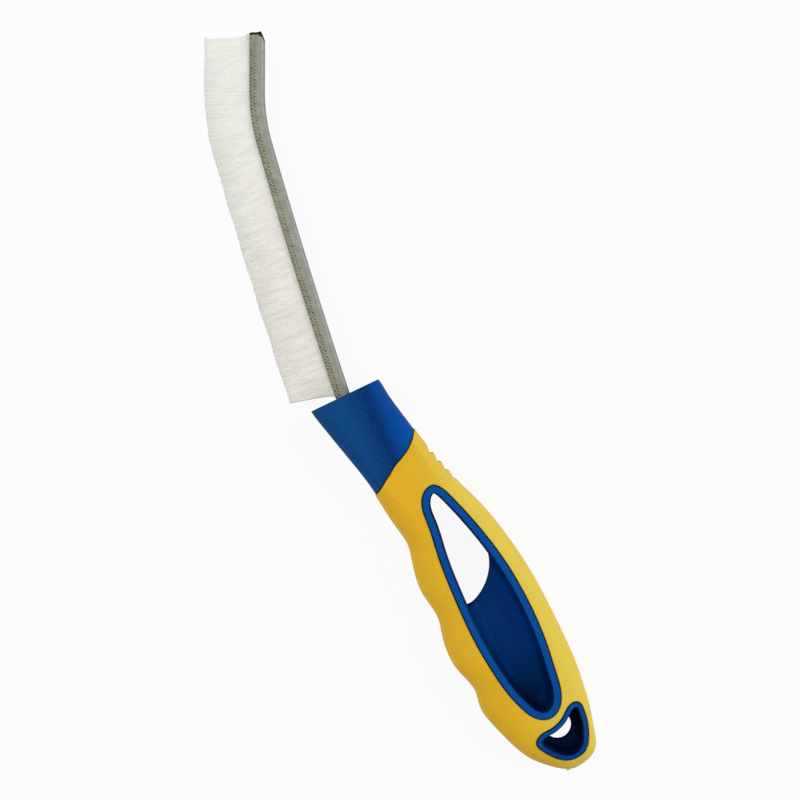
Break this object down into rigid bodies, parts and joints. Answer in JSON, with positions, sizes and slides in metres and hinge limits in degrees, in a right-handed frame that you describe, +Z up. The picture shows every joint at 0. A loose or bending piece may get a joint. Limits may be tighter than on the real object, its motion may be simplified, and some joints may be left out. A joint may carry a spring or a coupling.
{
  "type": "grout brush",
  "caption": "Grout brush: long bent steel strip brush in a two-colour moulded handle with finger waves, thumb ribs, an oval palm window and a hang hole.",
  "frame": {"origin": "centre of the bounding box, on the plane that the brush rests on when it lies on its broad side", "axes": "+X along the brush towards the tip of the strip, +Y towards the bristles and the finger side, +Z up through the thickness"},
  "size_m": [0.2724, 0.0525, 0.022],
  "materials": {
    "core_blue": "fine spark-textured moulding",
    "grip_yellow": "matte soft grip",
    "channel_steel": "galvanised sheet, crimped",
    "wire_steel": "drawn wire",
    "filament": "extruded filament, trimmed"
  },
  "bodies": {
    "root": {"handle_core": "core_blue", "grip_overmould": "grip_yellow", "brush_channel": "channel_steel", "anchor_wire": "wire_steel", "bristles_heel": "filament", "bristles_middle": "filament", "bristles_bend": "filament", "bristles_toe": "filament"}
  },
  "joints": []
}
